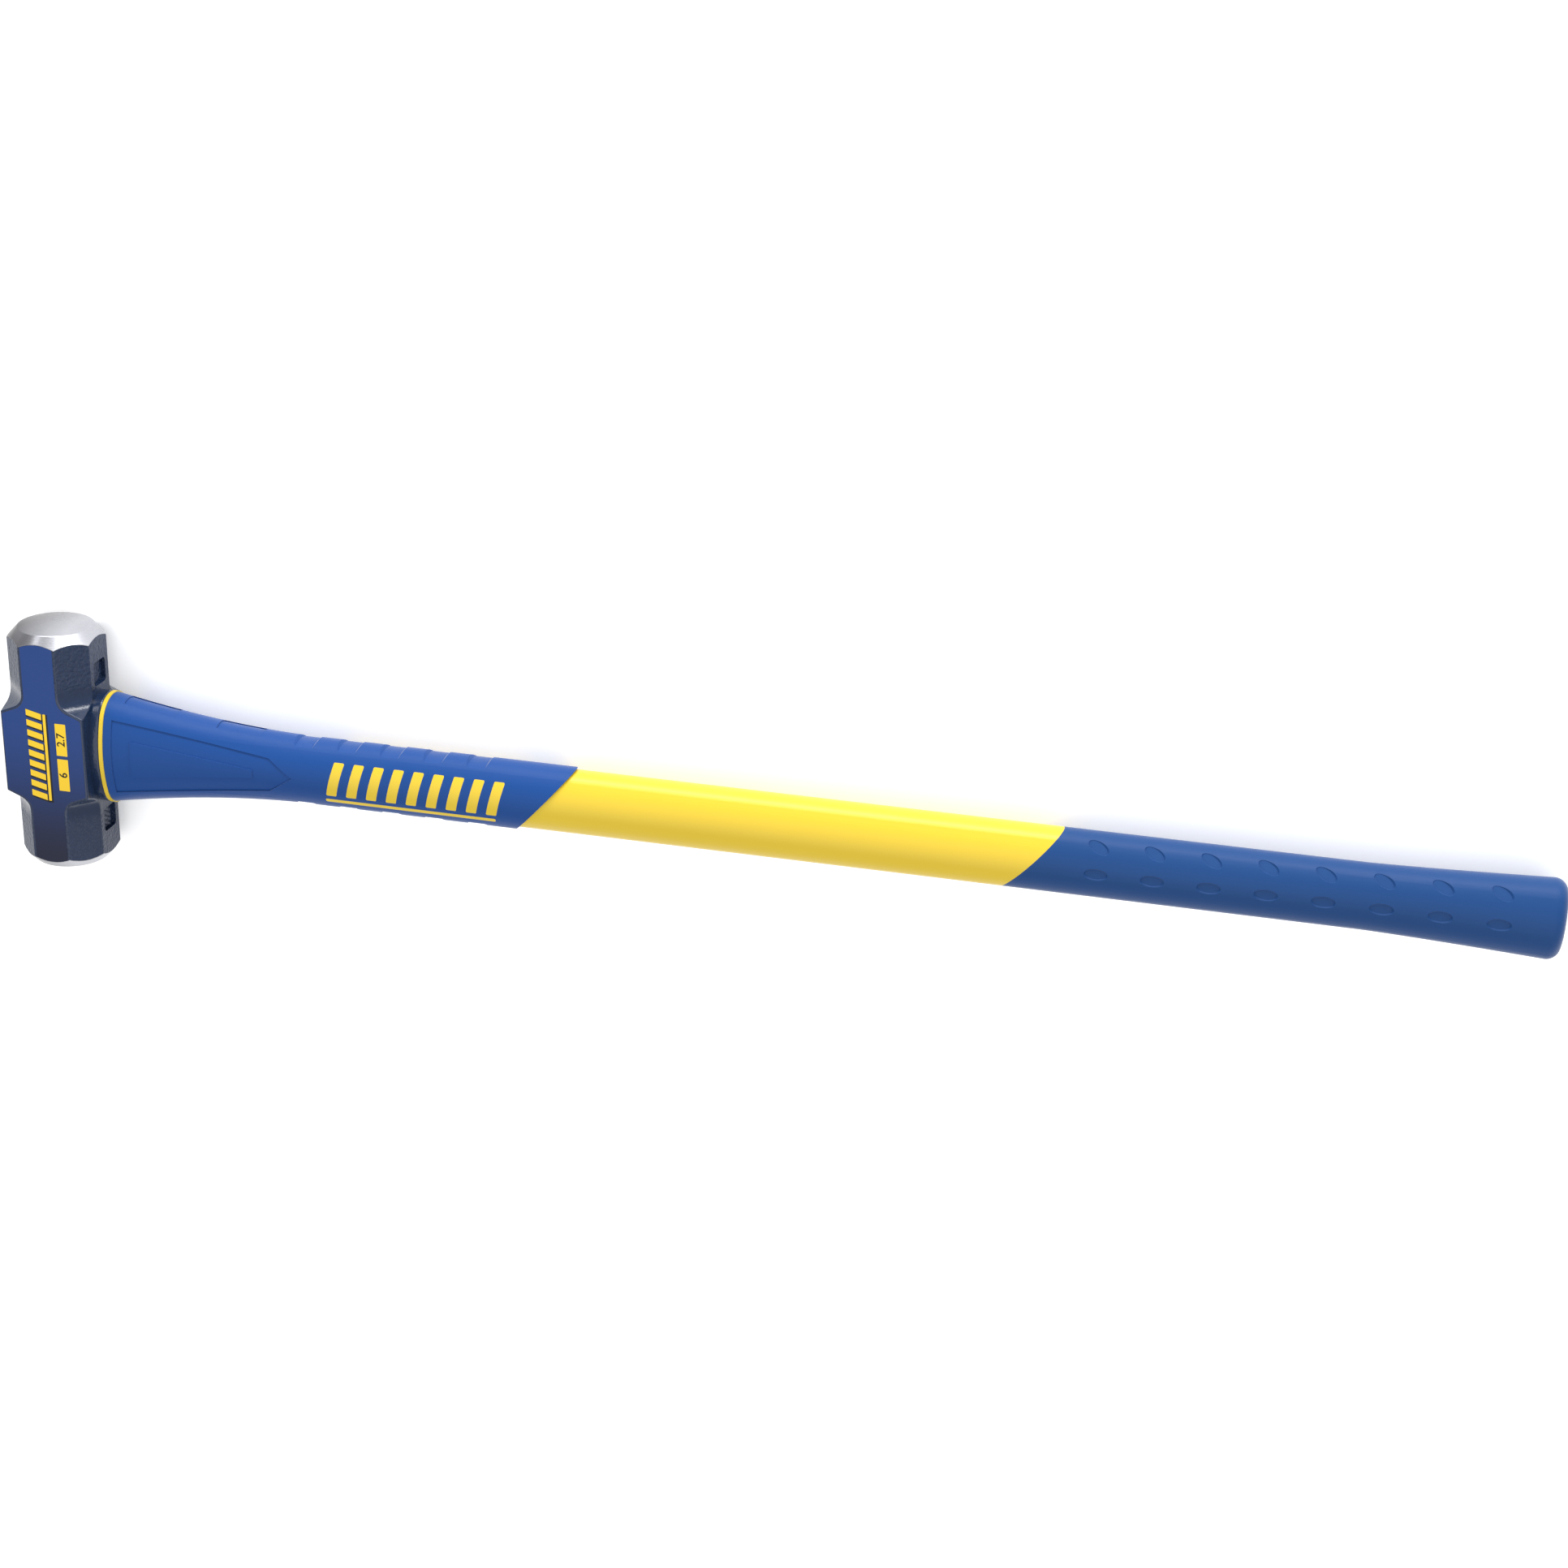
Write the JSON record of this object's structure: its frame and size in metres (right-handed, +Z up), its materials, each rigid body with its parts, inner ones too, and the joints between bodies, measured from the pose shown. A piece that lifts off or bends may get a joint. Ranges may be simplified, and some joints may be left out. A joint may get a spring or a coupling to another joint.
{
  "type": "sledgehammer",
  "caption": "Forged double-faced sledge head with ground chamfered faces, hung on a moulded glass-fibre handle with a flared neck sleeve and a dimpled grip",
  "frame": {"origin": "middle of the lower cheek, the flat of the head that the hammer lies on", "axes": "+X runs along the handle from the head to the grip's end, Y is the striking axis, +Z points up from the cheek it rests on"},
  "size_m": [0.9144, 0.1564, 0.0531],
  "materials": {
    "forged_steel": "forged steel, dark blue lacquer over a lightly pebbled skin, with the striking faces and chamfers ground bare",
    "label_film": "printed vinyl film",
    "resin": "cast epoxy",
    "seal_rubber": "moulded",
    "glass_fibre": "pultruded rod, sawn end",
    "yellow_jacket": "moulded polypropylene, satin",
    "blue_sleeve": "overmoulded elastomer, fine matt texture",
    "blue_grip": "overmoulded elastomer, fine matt texture"
  },
  "bodies": {
    "root": {"head": "forged_steel", "face_label": "label_film", "eye_resin": "resin", "eye_seal": "seal_rubber", "core": "glass_fibre", "jacket": "yellow_jacket", "neck_sleeve": "blue_sleeve", "grip": "blue_grip"}
  },
  "joints": []
}
